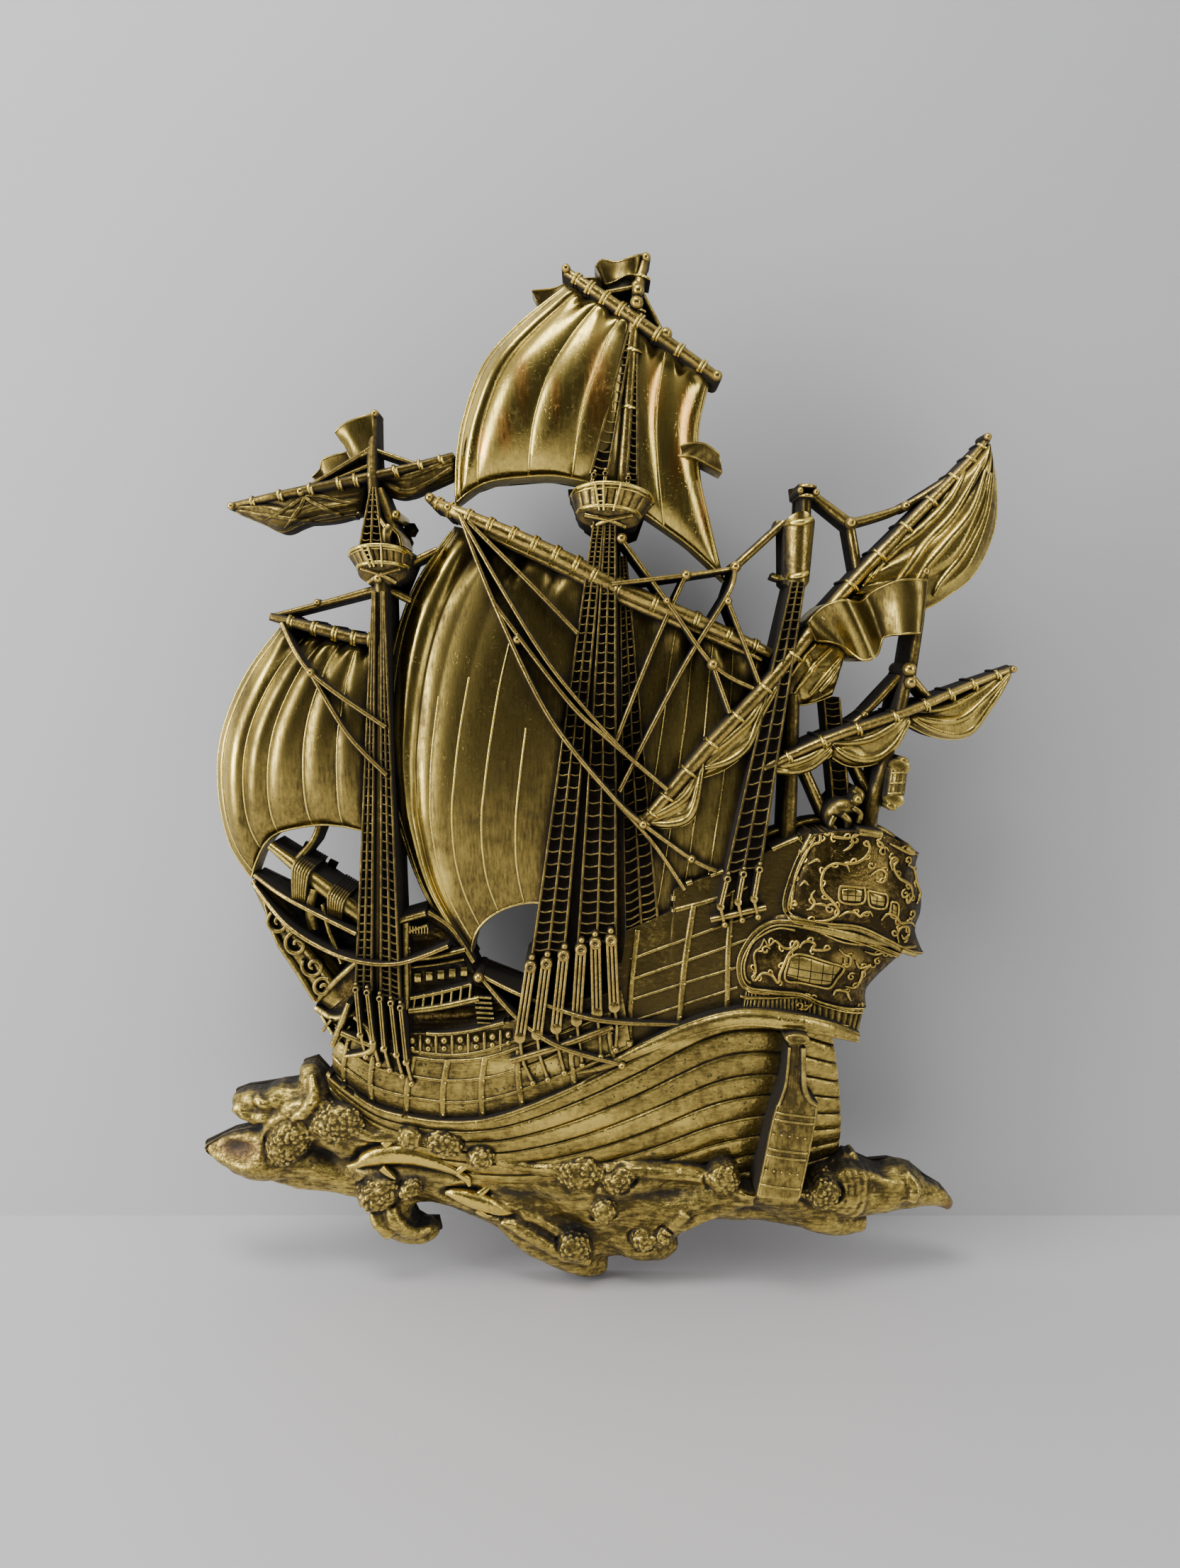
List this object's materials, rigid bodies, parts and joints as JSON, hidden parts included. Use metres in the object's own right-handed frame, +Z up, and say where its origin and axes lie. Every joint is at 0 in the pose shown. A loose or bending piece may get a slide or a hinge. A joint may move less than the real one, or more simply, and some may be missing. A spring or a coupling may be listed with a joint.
{
  "type": "ship wall plaque",
  "caption": "Relief wall plaque of a galleon under sail over rolling waves, moulded as one piece in antique gold, flat behind, hung from a pad high behind the main mast.",
  "frame": {"origin": "centre of the hanger pad on the flat back, behind the main fighting top", "axes": "+Z up the masts, +X towards the stern as seen from the front, +Y out of the flat back towards the wall"},
  "size_m": [0.5409, 0.0621, 0.6724],
  "materials": {
    "antique_gold": "antique gold, bright on the ridges, olive brown to near black in the recesses"
  },
  "bodies": {
    "root": {"ship_plaque": "antique_gold"}
  },
  "joints": []
}
